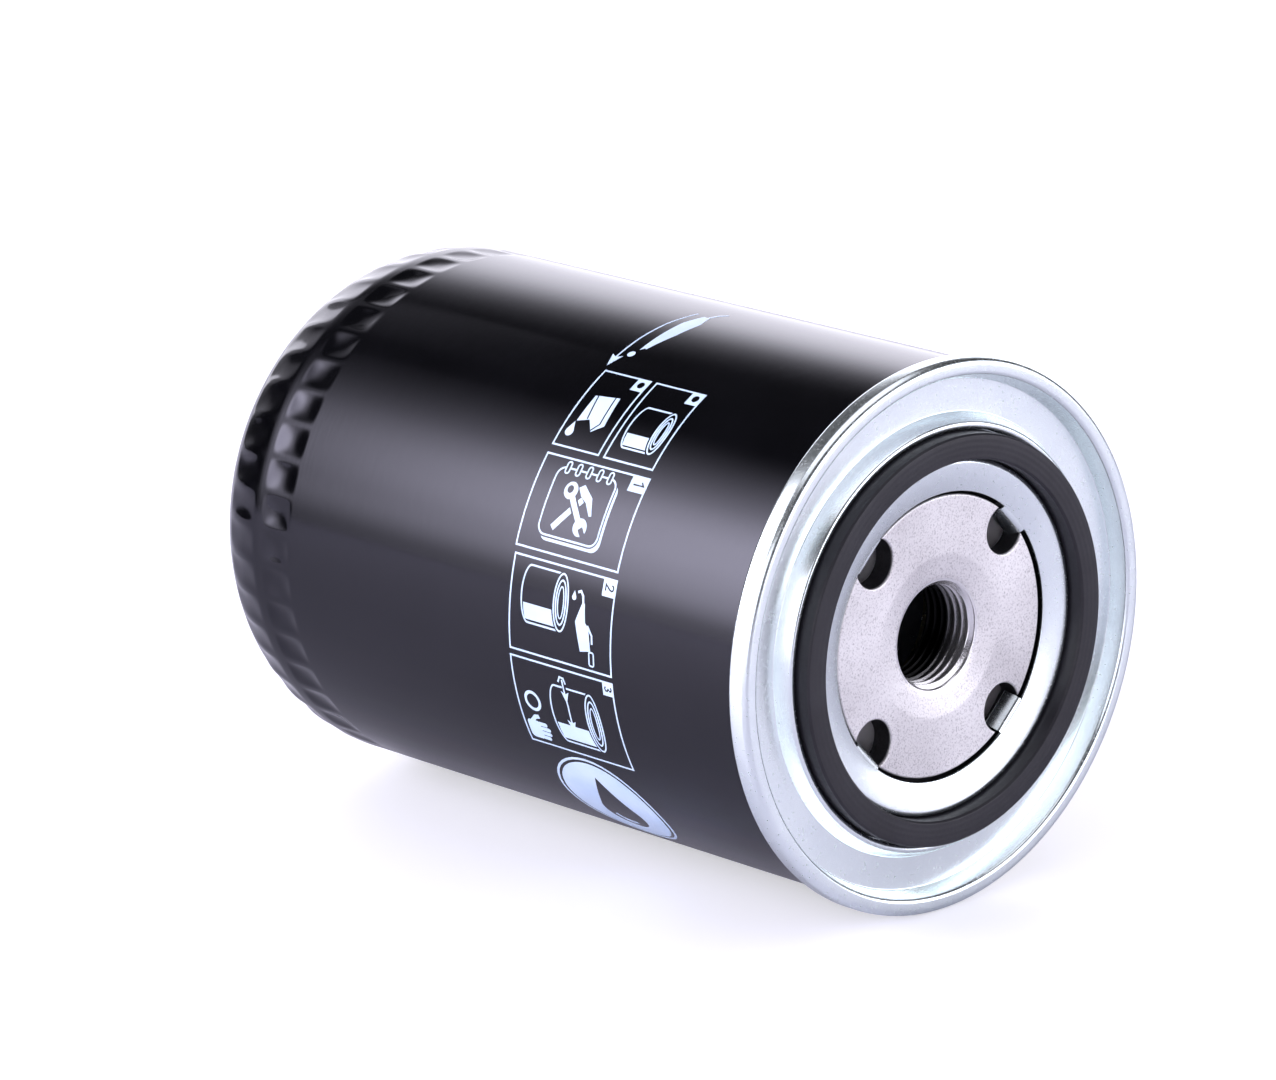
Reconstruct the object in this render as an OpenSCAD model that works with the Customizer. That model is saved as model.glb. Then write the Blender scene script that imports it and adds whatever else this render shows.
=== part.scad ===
// Spin-on oil filter, lying on its side.
// The thread's axis is +X, out of the threaded end. +Z is up. The origin is on the axis, where the thread starts.
// Each sub-part is drawn about the Z axis first, with Z along the thread's axis, and lay() turns it onto its side.

/* [Can] */
// Outer radius of the can
can_r = 46.5; // [46:0.1:47]
// Length from the thread's mouth to the closed end
can_len = 141.4; // [130:0.1:150]
// Sheet thickness of the can
can_t = 0.6; // [0.5:0.05:0.6]
// Outer bend radius between the can's side and its closed end
shoulder_r = 20.6; // [18:0.1:22]

/* [Grip dimples] */
// Number of dimples in each of the two rows
dimple_count = 45; // [30:1:45]
// Depth of a dimple
dimple_depth = 0.8; // [0.5:0.1:0.9]
// Radius of the bar that presses a dimple
dimple_bar_r = 3.2; // [2.8:0.1:3.3]
// Length of a dimple in the row on the can's side
side_dimple_len = 6.9; // [5:0.1:7]
// Length of a dimple in the row on the shoulder
shoulder_dimple_len = 9; // [6:0.1:9.4]
// Turn of both rows about the axis, in degrees
dimple_phase = 5; // [0:0.5:8]

/* [Lid] */
// Sheet thickness of the lid
lid_t = 0.7; // [0.6:0.05:0.7]
// Outer radius of the rolled seam
seam_r = 48; // [48:0.1:48.5]
// Height of the seam's crest above the thread's mouth
seam_crest = 3.1; // [2.9:0.1:3.4]
// Inner radius of the lid's inner lip
lip_inner_r = 25.1; // [24.8:0.1:25.5]

/* [Gasket] */
// Outer radius of the gasket
gasket_outer_r = 35.5; // [35.2:0.1:35.5]
// Inner radius of the gasket
gasket_inner_r = 31; // [31:0.1:31.4]
// Height of the gasket's face above the thread's mouth
gasket_face = 5.2; // [4.5:0.1:6]

/* [Base plate] */
// Thickness of the base plate
plate_t = 4; // [3.5:0.1:4]
// Outer radius of the base plate
plate_r = 41.5; // [40:0.5:42.5]
// Radius of the raised centre disc
disc_r = 24.4; // [24:0.1:24.4]
// Radius of an inlet hole
inlet_r = 4.3; // [3.5:0.1:4.4]
// Radius of the circle that the inlet holes' centres lie on
inlet_pitch_r = 22.2; // [21:0.1:22.4]

/* [Thread] */
// Pitch of the 3/4-16 UNF thread
thread_pitch = 1.5875; // [1.5:0.0125:1.6]
// Major radius of the thread
thread_major_r = 9.525; // [9.4:0.025:9.6]
// Number of thread grooves
thread_turns = 6; // [5:1:8]

/* [Filter element] */
// Outer radius of the element's end caps
element_r = 41; // [39:0.5:42]
// Number of pleats in the paper
pleat_count = 60; // [40:1:60]
// Thickness of the paper
paper_t = 0.7; // [0.5:0.05:0.7]
// Number of rows of holes in the centre tube
tube_hole_rows = 10; // [6:1:11]
// Number of holes in a row of the centre tube
tube_holes = 8; // [4:2:10]

/* [Springs and bypass valve] */
// Wire diameter of the element's spring
element_wire = 2.2; // [1.8:0.1:2.4]
// Number of turns of the element's spring
element_turns = 4.5; // [3.5:0.5:5]
// Wire diameter of the bypass valve's spring
bypass_wire = 0.9; // [0.7:0.1:1]
// Number of turns of the bypass valve's spring
bypass_turns = 4; // [3:0.5:4.5]

/* [Hidden] */
$fn = 96;
cut = 1;            // how far a cutting shape runs past what it cuts
bend_step = 15;     // degrees of a bend between two corners of an outline
gap = 0.3;          // clearance between bodies that move apart

// Can and seam
flange_front = 2;                          // front of the can's turned-out flange
flange_r = seam_r - 0.8;                   // its outer radius
seam_foot = -1;                            // rear edge of the seam
dome_inside = -can_len + can_t;
side_dimple_front = -can_len + 28.7;       // front end of the row on the side
shoulder_dimple_angle = 16.5;              // middle of the shoulder row, below the shoulder's start

// Lid: heights are above the thread's mouth
hook_r = can_r + 0.1;                      // inner end of the hook behind the can's flange
seam_inner_r = can_r - can_t - 0.55;       // the seam's inner wall at its crest
floor_front = -0.3;                        // the trough's floor and the gasket channel's floor
floor_mid = floor_front - lid_t / 2;
ridge_front = 2.6;                         // crest of the ridge between trough and gasket channel
ridge_wall_r = gasket_outer_r + 0.2;       // the gasket channel's outer wall
ridge_r = ridge_wall_r + 1;                // outer side of the ridge at its crest
trough_outer_r = seam_inner_r - 1.1;
trough_inner_r = ridge_wall_r + 2.4;
lip_wall_r = gasket_inner_r - 0.1;         // the gasket channel's inner wall
lip_front = 2.6;
lip_edge_front = 1.6;
lip_mid_r = lip_wall_r - lid_t / 2;        // middle of the lip's upright part
lip_slope = (lip_front - lip_edge_front) / (lip_mid_r - lip_inner_r);
seam_bend = 1;
hook_bend = 0.4;
form_bend = 0.6;
fold_bend = 0.37;                          // the tightest fold, at the ridge's crest
gasket_chamfer = 0.35;

// Base plate
plate_front = floor_front - lid_t;
disc_front = 1.1;
disc_rise = disc_front - plate_front;
disc_back = disc_front - plate_t;
plate_back = plate_front - plate_t;
plate_bend = 0.4;                          // small corner radius of the plate's edges
dish_r = 13;                               // where the disc starts to curve into the bore
dish_bend = 3;
mouth_height = 0.35;                       // height of the edge between the dish and the bore
neck_r = 11.8;
neck_bend = 1.8;
neck_chamfer = 0.7;
thread_depth = 0.5413 * thread_pitch;      // 5/8 of the sharp V's height
thread_minor_r = thread_major_r - thread_depth;
crest_w = thread_pitch / 4;
root_w = thread_pitch / 8;
thread_end = -thread_turns * thread_pitch - crest_w;
neck_end = thread_end - 0.9;
mouth_r = thread_minor_r + 0.7;
inlet_count = 4;
tab_half_w = inlet_r - 0.8;                // a lid tab bends down into each inlet hole
tab_t = lid_t - 0.15;                      // a little thinner than the lid, to start inside its lip
tab_root_r = lip_inner_r + 0.4;
tab_bend_r = inlet_pitch_r + 2.25;
tab_end_r = inlet_pitch_r + 1;
tab_end = -1.3;
weld_count = 8;
weld_r = 1.4;
weld_h = 0.6;
weld_pitch_r = (gasket_outer_r + gasket_inner_r) / 2;

// Drain valve
sleeve_inner_r = neck_r + gap;
sleeve_r = sleeve_inner_r + 1.3;
rim_r = 38;
rim_w = 3;
rim_t = 1.9;
rim_front = plate_back - gap;
membrane_t = 1.1;
membrane_inner_r = sleeve_r + 2.2;
membrane_outer_front = rim_front - 1.2;    // heights of the membrane's front at its two edges
membrane_inner_front = rim_front - 0.2;
collar_front = rim_front - 0.1;

// Filter element, from the threaded end to the closed end
cap_t = 0.5;
top_cap_front = neck_end - 1;
cap_skirt = 5;
cap_bore_r = sleeve_r + gap;
adhesive_t = 1.5;
paper_front = top_cap_front - cap_t - adhesive_t;
bottom_cap_back = -can_len + 24.4;
paper_back = bottom_cap_back + cap_t + adhesive_t;
paper_len = paper_front - paper_back;
paper_outer_r = element_r - 1;
paper_inner_r = 17;
tube_inner_r = 15;
tube_t = 0.6;
tube_hole_r = 2;
clip_t = 0.35;
clip_len = paper_len - 8;

// Bypass valve, from the closed end inwards
housing_back = bottom_cap_back + cap_t;
housing_r = 13;
housing_t = 0.8;
housing_len = 12.5;
seat_r = 6.5;
seal_t = 1.2;
seal_front = housing_back + housing_t + seal_t;
poppet_r = 9.5;
poppet_t = 1;
poppet_back = seal_front + gap;
poppet_front = poppet_back + poppet_t;
stem_r = 2;
retainer_t = 0.8;
retainer_back = housing_back + housing_len - 2.2;
retainer_windows = 3;
retainer_window_r = 2.6;
retainer_window_pitch_r = 8.7;
bypass_coil_r = 6;

// Element spring
seat_plate_t = 0.8;
seat_plate_r = 22;
seat_collar_h = 3;
seat_front = dome_inside + seat_plate_t;
element_coil_r = 16;
wire_sides = 8;
rings_per_turn = 20;
dead_turns = 0.75;                         // closed turns at each end of a spring

// Outlines are lists of corners [radius, height, bend radius]; the two ends have no bend.
function unit(v) = v / norm(v);
function left_of(v) = [-v[1], v[0]];
function spot(corner) = [corner[0], corner[1]];

function bend(a, b, c, r) =
    let (u = unit(a - b),
         v = unit(c - b),
         half = acos(u * v) / 2,
         centre = b + unit(u + v) * r / sin(half),
         p = b + u * r / tan(half) - centre,
         q = b + v * r / tan(half) - centre,
         start = atan2(p[1], p[0]),
         sweep = (atan2(q[1], q[0]) - start + 540) % 360 - 180,
         n = ceil(abs(sweep) / bend_step))
    [for (i = [0:n]) centre + r * [cos(start + sweep * i / n), sin(start + sweep * i / n)]];

function bent_path(corners) =
    let (last = len(corners) - 1)
    [for (i = [0:last])
        each (i == 0 || i == last || len(corners[i]) < 3)
            ? [spot(corners[i])]
            : bend(spot(corners[i - 1]), spot(corners[i]), spot(corners[i + 1]), corners[i][2])];

// A point beside corner i of a path, at distance d to its left.
function beside(path, i, d) =
    let (last = len(path) - 1,
         before = left_of(unit(i == 0 ? path[1] - path[0] : path[i] - path[i - 1])),
         after = i == last ? before : left_of(unit(path[i + 1] - path[i])),
         mitre = unit(before + after))
    path[i] + mitre * d / (mitre * before);

// The outline of a sheet of thickness t that follows a path with its middle.
function sheet(path, t) =
    concat([for (i = [0:len(path) - 1]) beside(path, i, t / 2)],
           [for (i = [len(path) - 1:-1:0]) beside(path, i, -t / 2)]);

function turned(r, a) = [r * cos(a), r * sin(a)];

module lay() {
    rotate([0, 90, 0]) children();
}

module revolve(outline) {
    rotate_extrude() polygon(outline);
}

module ring(outer_r, inner_r, back, front) {
    revolve([[inner_r, back], [outer_r, back], [outer_r, front], [inner_r, front]]);
}

// A row of copies about the axis.
module around(count, phase = 0) {
    for (i = [0:count - 1]) rotate([0, 0, phase + i * 360 / count]) children();
}

// The can's outer form at inset 0, and the form of its inside at an inset of one sheet.
module pressed_form(inset) {
    arc_r = shoulder_r - inset;
    bar_r = dimple_bar_r + inset;
    bar_out = dimple_bar_r - dimple_depth;
    difference() {
        revolve(concat([[0, flange_front + cut]],
                       bent_path([[can_r - inset, flange_front + cut],
                                  [can_r - inset, -can_len + inset, arc_r],
                                  [0, -can_len + inset]])));
        around(dimple_count, dimple_phase)
            translate([can_r + bar_out, 0, side_dimple_front - side_dimple_len - inset])
                cylinder(r = bar_r, h = side_dimple_len + 2 * inset);
        around(dimple_count, dimple_phase)
            translate([can_r - shoulder_r, 0, -can_len + shoulder_r])
                rotate([0, shoulder_dimple_angle, 0])
                    translate([shoulder_r + bar_out, 0, -shoulder_dimple_len / 2 - inset])
                        cylinder(r = bar_r, h = shoulder_dimple_len + 2 * inset);
    }
}

module can() {
    color([0.02, 0.02, 0.025]) lay() {
        difference() {
            union() {
                difference() {
                    pressed_form(0);
                    translate([0, 0, flange_front]) cylinder(r = can_r + cut, h = 2 * cut);
                }
                ring(flange_r, can_r - can_t / 2, flange_front - can_t, flange_front);
            }
            pressed_form(can_t);
        }
    }
}

// Height of the middle of the lid's sloping inner lip.
function lip_mid(r) = lip_edge_front - lid_t / 2 + (r - lip_inner_r) * lip_slope;

// A tab of the inner lip, bent down into an inlet hole.
module lid_tab() {
    rotate([90, 0, 0]) linear_extrude(2 * tab_half_w, center = true)
        polygon(sheet(bent_path([
            [tab_root_r, lip_mid(tab_root_r)],
            [tab_bend_r, lip_mid(tab_bend_r), form_bend],
            [tab_end_r, tab_end]]), tab_t));
}

// The lid runs from the hook under the can's flange, over the seam, through the trough, over the
// ridge, through the gasket channel, and over the inner lip.
module lid_ring() {
    half = lid_t / 2;
    seam_mid_r = seam_r - half;
    revolve(sheet(bent_path([
        [hook_r, seam_foot + half],
        [seam_mid_r, seam_foot + half, hook_bend],
        [seam_mid_r, seam_crest - half, seam_bend],
        [seam_inner_r, seam_crest - half, form_bend],
        [trough_outer_r, floor_mid, form_bend],
        [trough_inner_r, floor_mid, form_bend],
        [ridge_r, ridge_front - half, fold_bend],
        [ridge_wall_r + half, ridge_front - half, fold_bend],
        [ridge_wall_r + half, floor_mid, hook_bend],
        [lip_mid_r, floor_mid, hook_bend],
        [lip_mid_r, lip_front - half, form_bend],
        [lip_inner_r, lip_edge_front - half]]), lid_t));
}

module lid() {
    color([0.8, 0.85, 0.9]) lay() union() {
        lid_ring();
        around(inlet_count, 45) lid_tab();
    }
}

function thread_outline() =
    [for (i = [0:thread_turns - 1])
        let (top = -i * thread_pitch - crest_w,
             flank = (thread_pitch - crest_w - root_w) / 2)
        each [[thread_minor_r, top],
              [thread_major_r, top - flank],
              [thread_major_r, top - flank - root_w],
              [thread_minor_r, top - 2 * flank - root_w]]];

module base_plate() {
    color([0.62, 0.6, 0.62]) lay() difference() {
        revolve(concat(
            [[thread_minor_r, 0]],
            thread_outline(),
            [[thread_minor_r, thread_end]],
            bent_path([[thread_minor_r + neck_chamfer, neck_end],
                       [neck_r, neck_end, plate_bend],
                       [neck_r, disc_back, neck_bend],
                       [disc_r, disc_back, plate_bend],
                       [disc_r + disc_rise, plate_back, plate_bend],
                       [plate_r, plate_back, plate_bend],
                       [plate_r, plate_front, plate_bend],
                       [disc_r + 0.3, plate_front, plate_bend],
                       [disc_r, disc_front, plate_bend],
                       [dish_r, disc_front, dish_bend],
                       [mouth_r, mouth_height, plate_bend],
                       [thread_minor_r, 0]])));
        around(inlet_count, 45)
            translate([inlet_pitch_r, 0, plate_back - cut])
                cylinder(r = inlet_r, h = plate_t + disc_rise + 2 * cut);
    }
}

module gasket() {
    color([0.06, 0.06, 0.065]) lay() revolve([
        [gasket_inner_r, floor_front],
        [gasket_outer_r, floor_front],
        [gasket_outer_r, gasket_face - gasket_chamfer],
        [gasket_outer_r - gasket_chamfer, gasket_face],
        [gasket_inner_r + gasket_chamfer, gasket_face],
        [gasket_inner_r, gasket_face - gasket_chamfer]]);
}

// The compound fills the seam round the can's flange.
module seam_compound() {
    skin_r = seam_r - lid_t - 0.02;
    front_r = flange_r + 0.02;
    foot = seam_foot + lid_t + 0.02;
    corner = 0.15;
    color([0.55, 0.35, 0.2]) lay() revolve([
        [can_r, foot],
        [skin_r - corner, foot],
        [skin_r, foot + corner],
        [skin_r, flange_front - 2 * corner],
        [front_r, flange_front],
        [flange_r, flange_front],
        [flange_r, flange_front - can_t],
        [can_r, flange_front - can_t]]);
}

module weld_spots() {
    color([0.45, 0.42, 0.4]) lay() around(weld_count)
        translate([weld_pitch_r, 0, plate_front - weld_h / 2]) cylinder(r = weld_r, h = weld_h);
}

module drain_valve() {
    foot = top_cap_front - 1.6;
    soft_bend = 0.6;
    color([0.18, 0.18, 0.19]) lay() revolve(concat(
        [[sleeve_inner_r, foot]],
        bent_path([[sleeve_r, foot],
                   [sleeve_r, membrane_inner_front - 2 * membrane_t, soft_bend],
                   [membrane_inner_r, membrane_inner_front - membrane_t, soft_bend],
                   [rim_r - rim_w, membrane_outer_front - membrane_t, soft_bend],
                   [rim_r - rim_w / 4, rim_front - rim_t, soft_bend],
                   [rim_r, rim_front - rim_t / 2, soft_bend / 2],
                   [rim_r - rim_w / 4, rim_front, soft_bend],
                   [rim_r - rim_w, rim_front, soft_bend],
                   [rim_r - 1.6 * rim_w, membrane_outer_front, soft_bend],
                   [membrane_inner_r, membrane_inner_front, soft_bend],
                   [sleeve_inner_r + soft_bend, collar_front, soft_bend / 2],
                   [sleeve_inner_r, collar_front - soft_bend]])));
}

// A pressed end cap: a disc with an outer skirt. Heights grow towards the paper.
module cap_disc(bore_r) {
    ring(element_r, bore_r, 0, cap_t);
    ring(element_r, element_r - cap_t, 0, cap_skirt);
}

module top_end_cap() {
    color([0.72, 0.7, 0.55]) lay() translate([0, 0, top_cap_front]) mirror([0, 0, 1]) {
        cap_disc(cap_bore_r);
        ring(cap_bore_r + cap_t, cap_bore_r, 0, cap_skirt - 1);
    }
}

module bottom_end_cap() {
    color([0.72, 0.7, 0.55]) lay() translate([0, 0, bottom_cap_back]) cap_disc(seat_r + 3.5);
}

// One face of the pleated paper: peaks and valleys with flat folds of the given half widths.
function pleat_face(peak_r, peak_half, valley_r, valley_half) =
    [for (i = [0:pleat_count - 1])
        let (step = 360 / pleat_count,
             peak = asin(peak_half / peak_r),
             valley = asin(valley_half / valley_r))
        each [turned(peak_r, i * step - peak),
              turned(peak_r, i * step + peak),
              turned(valley_r, (i + 0.5) * step - valley),
              turned(valley_r, (i + 0.5) * step + valley)]];

module pleated_paper() {
    half = paper_t / 2;
    fold = 0.55;          // half widths of the folds, to the middle of the paper
    valley_fold = 0.44;
    color([0.85, 0.75, 0.5]) lay() translate([0, 0, paper_back]) difference() {
        linear_extrude(paper_len)
            polygon(pleat_face(paper_outer_r, fold + half, paper_inner_r + paper_t, valley_fold - half));
        translate([0, 0, -cut]) linear_extrude(paper_len + 2 * cut)
            polygon(pleat_face(paper_outer_r - paper_t, fold - half, paper_inner_r, valley_fold + half));
    }
}

module pleat_clip() {
    inner_half = 1.05;
    leg = 5;
    front_r = element_r - cap_t - 0.05;
    color([0.7, 0.72, 0.75]) lay()
        translate([front_r - leg, 0, (paper_front + paper_back - clip_len) / 2])
            difference() {
                translate([0, -inner_half - clip_t, 0])
                    cube([leg, 2 * (inner_half + clip_t), clip_len]);
                translate([-clip_t, -inner_half, -cut])
                    cube([leg, 2 * inner_half, clip_len + 2 * cut]);
            }
}

module centre_tube() {
    row_step = paper_len / (tube_hole_rows + 1);
    color([0.6, 0.62, 0.65]) lay() difference() {
        ring(tube_inner_r + tube_t, tube_inner_r, paper_back, paper_front);
        for (row = [1:tube_hole_rows])
            translate([0, 0, paper_back + row * row_step])
                around(tube_holes / 2, row % 2 * 180 / tube_holes)
                    rotate([0, 90, 0])
                        translate([0, 0, -tube_inner_r - tube_t - cut])
                            cylinder(r = tube_hole_r, h = 2 * (tube_inner_r + tube_t + cut));
    }
}

module top_adhesive() {
    color([0.3, 0.32, 0.3]) lay()
        ring(element_r - cap_t, cap_bore_r + cap_t, paper_front, paper_front + adhesive_t);
}

module bottom_adhesive() {
    color([0.3, 0.32, 0.3]) lay()
        ring(element_r - cap_t, tube_inner_r - 0.5, paper_back - adhesive_t, paper_back);
}

module bypass_housing() {
    color([0.66, 0.66, 0.68]) lay() revolve(sheet(bent_path([
        [seat_r, housing_back + housing_t / 2],
        [housing_r - housing_t / 2, housing_back + housing_t / 2, housing_t],
        [housing_r - housing_t / 2, housing_back + housing_len]]), housing_t));
}

module bypass_seal() {
    color([0.1, 0.1, 0.1]) lay() ring(poppet_r + 1, seat_r + 0.3, seal_front - seal_t, seal_front);
}

module bypass_poppet() {
    boss_r = bypass_coil_r - bypass_wire / 2 - 0.6;
    boss_front = poppet_front + 1.2;
    boss_taper = 0.6;
    tip = retainer_back + retainer_t + 1.4;
    tip_chamfer = 0.5;
    color([0.75, 0.72, 0.6]) lay() revolve([
        [0, poppet_back],
        [poppet_r, poppet_back],
        [poppet_r, poppet_front],
        [boss_r, poppet_front],
        [boss_r - boss_taper, boss_front],
        [stem_r, boss_front],
        [stem_r, tip - tip_chamfer],
        [stem_r - tip_chamfer, tip],
        [0, tip]]);
}

module bypass_retainer() {
    color([0.66, 0.66, 0.68]) lay() difference() {
        ring(housing_r - housing_t, stem_r + gap, retainer_back, retainer_back + retainer_t);
        around(retainer_windows)
            translate([retainer_window_pitch_r, 0, retainer_back - cut])
                cylinder(r = retainer_window_r, h = retainer_t + 2 * cut);
    }
}

// Height of a spring's wire after t turns: closed turns at both ends and an even pitch between.
function coil_height(t, turns, wire, span) =
    t < dead_turns ? t * wire
    : t > turns - dead_turns ? span - (turns - t) * wire
    : dead_turns * wire + (t - dead_turns) * (span - 2 * dead_turns * wire) / (turns - 2 * dead_turns);

module coil(coil_r, wire, turns, back, front) {
    rings = round(turns * rings_per_turn);
    span = front - back - wire;
    points = [for (i = [0:rings])
        let (t = i * turns / rings,
             height = back + wire / 2 + coil_height(t, turns, wire, span))
        for (k = [0:wire_sides - 1])
            let (side = turned(wire / 2, (k + 0.5) * 360 / wire_sides),
                 flat = turned(coil_r + side[0], t * 360))
            [flat[0], flat[1], height + side[1]]];
    walls = [for (i = [0:rings - 1])
        for (k = [0:wire_sides - 1])
            let (next = (k + 1) % wire_sides,
                 a = i * wire_sides,
                 b = a + wire_sides)
            each [[a + k, b + k, b + next], [a + k, b + next, a + next]]];
    ends = [[for (k = [0:wire_sides - 1]) k],
            [for (k = [wire_sides - 1:-1:0]) rings * wire_sides + k]];
    polyhedron(points, concat(walls, ends));
}

module bypass_spring() {
    color([0.55, 0.57, 0.6]) lay()
        coil(bypass_coil_r, bypass_wire, bypass_turns, poppet_front + 0.1, retainer_back);
}

module element_spring() {
    color([0.5, 0.52, 0.55]) lay()
        coil(element_coil_r, element_wire, element_turns, seat_front, bottom_cap_back - 0.1);
}

module spring_seat() {
    inside_coil_r = element_coil_r - element_wire / 2 - 1;
    color([0.6, 0.6, 0.62]) lay() revolve(sheet(bent_path([
        [seat_plate_r, dome_inside + seat_plate_t / 2],
        [inside_coil_r, dome_inside + seat_plate_t / 2, 1.2],
        [inside_coil_r - 0.3, seat_front + seat_collar_h]]), seat_plate_t));
}

can();
lid();
base_plate();
gasket();
seam_compound();
weld_spots();
drain_valve();
top_end_cap();
bottom_end_cap();
pleated_paper();
pleat_clip();
centre_tube();
top_adhesive();
bottom_adhesive();
bypass_housing();
bypass_seal();
bypass_poppet();
bypass_spring();
bypass_retainer();
element_spring();
spring_seat();
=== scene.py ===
import bpy
import bmesh
import math
from mathutils import Matrix, Vector
from mathutils.geometry import delaunay_2d_cdt


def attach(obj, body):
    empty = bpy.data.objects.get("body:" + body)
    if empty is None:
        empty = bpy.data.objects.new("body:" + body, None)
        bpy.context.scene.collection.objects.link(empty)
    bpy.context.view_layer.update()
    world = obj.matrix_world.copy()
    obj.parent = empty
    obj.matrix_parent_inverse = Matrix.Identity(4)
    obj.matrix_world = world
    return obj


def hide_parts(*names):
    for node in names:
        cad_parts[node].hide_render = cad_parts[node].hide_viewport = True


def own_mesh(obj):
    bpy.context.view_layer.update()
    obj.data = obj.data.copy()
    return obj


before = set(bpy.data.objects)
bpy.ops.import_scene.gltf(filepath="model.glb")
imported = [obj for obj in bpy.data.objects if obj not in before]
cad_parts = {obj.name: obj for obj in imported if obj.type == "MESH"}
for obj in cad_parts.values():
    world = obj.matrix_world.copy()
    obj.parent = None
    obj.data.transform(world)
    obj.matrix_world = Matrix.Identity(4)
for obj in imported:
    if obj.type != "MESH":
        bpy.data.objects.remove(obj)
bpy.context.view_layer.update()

MM = 0.001
TURN = 2 * math.pi

# The CAD's main sizes in millimetres. A profile point is (radius, x), x along the thread's axis.
CAN_R, CAN_T, CAN_END = 46.5, 0.6, -141.4
SHOULDER_R = 20.6
SHOULDER_START = CAN_END + SHOULDER_R
LID_T = 0.7
THREAD_PITCH, THREAD_MINOR, THREAD_MAJOR = 1.5875, 8.6657, 9.525
INLET_R, INLET_PITCH_R = 4.3, 22.2
INLET_ANGLES = [math.radians(45 + 90 * i) for i in range(4)]
FLOOR_Z = -0.048                   # in metres, where the seam touches the floor


# ---------------------------------------------------------------- materials

def new_material(name):
    """A material, its shader, and a function that adds a node and links sockets into it by name or index."""
    material = bpy.data.materials.new(name)
    material.use_nodes = True
    tree = material.node_tree
    shader = tree.nodes["Principled BSDF"]

    def add(kind, links=(), **settings):
        node = tree.nodes.new(kind)
        for key, value in settings.items():
            setattr(node, key, value)
        for socket, source in dict(links).items():
            if isinstance(source, bpy.types.NodeSocket):
                tree.links.new(source, node.inputs[socket])
            else:
                node.inputs[socket].default_value = source
        return node

    return material, shader, add, tree.links.new


def grain(add, scale, stretch=(1, 1, 1), detail=3, rough=0.5):
    """A noise value. Scale is in features per metre, and stretch makes it finer along an axis."""
    place = add("ShaderNodeTexCoord").outputs["Object"]
    shaped = add("ShaderNodeVectorMath", {0: place, 1: stretch}, operation="MULTIPLY")
    noise = add("ShaderNodeTexNoise",
                {"Vector": shaped.outputs[0], "Scale": scale, "Detail": detail, "Roughness": rough})
    return noise.outputs["Fac"]


def rings(add, spacing, distortion=0.4):
    """Fine turned rings about the thread's axis, with the given spacing in metres."""
    place = add("ShaderNodeTexCoord").outputs["Object"]
    wave = add("ShaderNodeTexWave",
               {"Vector": place, "Scale": 0.314 / spacing / 2, "Distortion": distortion, "Detail": 2,
                "Detail Scale": 0.6},
               wave_type="RINGS", rings_direction="X", wave_profile="SIN")
    return wave.outputs["Fac"]


def span(add, value, low, high, frm=(0.3, 0.7)):
    """A value brought from one range to another."""
    return add("ShaderNodeMapRange", {"Value": value, "From Min": frm[0], "From Max": frm[1],
                                      "To Min": low, "To Max": high}).outputs[0]


def two_tone(add, value, dark, light, low=0.35, high=0.65):
    """A colour ramp between two colours."""
    ramp = add("ShaderNodeValToRGB", {"Fac": value})
    ramp.color_ramp.elements[0].position = low
    ramp.color_ramp.elements[0].color = (*dark, 1)
    ramp.color_ramp.elements[1].position = high
    ramp.color_ramp.elements[1].color = (*light, 1)
    return ramp.outputs["Color"]


def bump(add, height, strength, depth, below=None):
    """A bump of the given depth in metres, over another one if it is given."""
    links = {"Height": height, "Strength": strength, "Distance": depth}
    if below:
        links["Normal"] = below
    return add("ShaderNodeBump", links).outputs["Normal"]


def finish_surface(name, dark, light, rough, metal=0.0, scale=900, stretch=(1, 1, 1), depth=0.00001,
                   spread=0.08, ring=None, ring_depth=0.000006, ior=1.5):
    """A surface with mottled colour, uneven roughness and a fine grain, and turned rings if asked."""
    material, shader, add, link = new_material(name)
    fine = grain(add, scale, stretch)
    broad = grain(add, scale / 12, stretch)
    link(two_tone(add, broad, dark, light), shader.inputs["Base Color"])
    link(span(add, fine, rough - spread, rough + spread), shader.inputs["Roughness"])
    normal = bump(add, fine, 1.0, depth)
    if ring:
        normal = bump(add, rings(add, ring), 1.0, ring_depth, normal)
    link(normal, shader.inputs["Normal"])
    shader.inputs["Metallic"].default_value = metal
    shader.inputs["IOR"].default_value = ior
    return material


def black_paint():
    """Gloss black baked enamel: faint orange peel, and faint draw lines round the can under it."""
    material, shader, add, link = new_material("black_paint")
    link(two_tone(add, grain(add, 60), (0.0016, 0.0016, 0.0022), (0.0024, 0.0024, 0.0032)),
         shader.inputs["Base Color"])
    link(span(add, grain(add, 500, (6, 1, 1)), 0.1, 0.14), shader.inputs["Roughness"])
    peel = bump(add, grain(add, 420, detail=2), 1.0, 0.0000022)
    link(bump(add, grain(add, 190, (9, 1, 1), detail=4), 1.0, 0.0000026, peel), shader.inputs["Normal"])
    shader.inputs["IOR"].default_value = 1.39
    shader.inputs["Specular Tint"].default_value = (0.85, 0.83, 1, 1)
    return material


def mixed(add, share, low, high, blend="MIX"):
    """Two colours mixed, from the first at a share of 0 to the second at 1."""
    mix = add("ShaderNodeMix", {0: share, 6: low, 7: high}, data_type="RGBA", blend_type=blend)
    return mix.outputs[2]


def axis_square(add):
    """The squared distance from the thread's axis, and the place along it."""
    place = add("ShaderNodeSeparateXYZ", {0: add("ShaderNodeTexCoord").outputs["Object"]})
    squares = [add("ShaderNodeMath", {0: place.outputs[axis], 1: 2}, operation="POWER").outputs[0]
               for axis in ("Y", "Z")]
    total = add("ShaderNodeMath", {0: squares[0], 1: squares[1]}, operation="ADD")
    return total.outputs[0], place.outputs["X"]


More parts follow.
